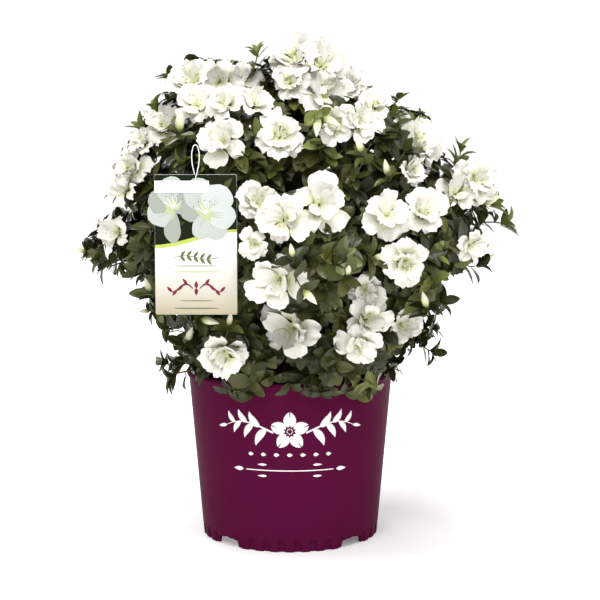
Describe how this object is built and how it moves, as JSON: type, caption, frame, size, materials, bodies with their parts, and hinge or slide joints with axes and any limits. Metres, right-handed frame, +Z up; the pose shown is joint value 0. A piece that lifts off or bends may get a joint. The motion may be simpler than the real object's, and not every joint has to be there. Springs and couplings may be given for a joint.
{
  "type": "potted azalea shrub",
  "caption": "Flowering azalea shrub in a round nursery pot: a short stem forks into boughs that carry leafy masses with white double blooms, and a care tag hangs at the front.",
  "frame": {"origin": "middle of the pot's underside, at its centre foot", "axes": "+Z up; -Y is the front, where the care tag hangs; +X to the right of that view"},
  "size_m": [0.6001, 0.5763, 0.6706],
  "materials": {
    "pot": "satin moulded plastic, deep plum",
    "print": "flat printed ink, off-white",
    "soil": "damp crumbly bark and peat mix",
    "bark": "fine ridged grey-brown bark",
    "leaves": "satin leathery leaf, dark olive green",
    "petals": "soft matt petal, white with a green-yellow throat",
    "tag": "satin coated card, printed",
    "tie": "thin white loop"
  },
  "bodies": {
    "root": {"pot": "pot", "potting_soil": "soil", "stem": "bark", "bough_top": "bark", "bough_top_left": "bark", "bough_top_right": "bark", "bough_left_shoulder": "bark", "bough_right_shoulder": "bark", "bough_front_left_shoulder": "bark", "bough_front_right_shoulder": "bark", "bough_back_left_shoulder": "bark", "bough_back_right_shoulder": "bark", "bough_left_arm": "bark", "bough_right_arm": "bark", "bough_front_belly": "bark", "bough_back_belly": "bark", "mass_top": "leaves", "mass_top_left": "leaves", "mass_top_right": "leaves", "mass_left_shoulder": "leaves", "mass_right_shoulder": "leaves", "mass_front_left_shoulder": "leaves", "mass_front_right_shoulder": "leaves", "mass_back_left_shoulder": "leaves", "mass_back_right_shoulder": "leaves", "mass_left_arm": "leaves", "mass_right_arm": "leaves", "mass_front_left_belly": "leaves", "mass_front_belly": "leaves", "mass_front_right_belly": "leaves", "mass_back_right_belly": "leaves", "mass_back_belly": "leaves", "mass_back_left_belly": "leaves", "mass_left_skirt": "leaves", "mass_front_left_skirt": "leaves", "mass_front_right_skirt": "leaves", "mass_right_skirt": "leaves", "mass_back_right_skirt": "leaves", "mass_back_left_skirt": "leaves", "plant_tag": "tag", "tag_tie": "tie"}
  },
  "joints": []
}
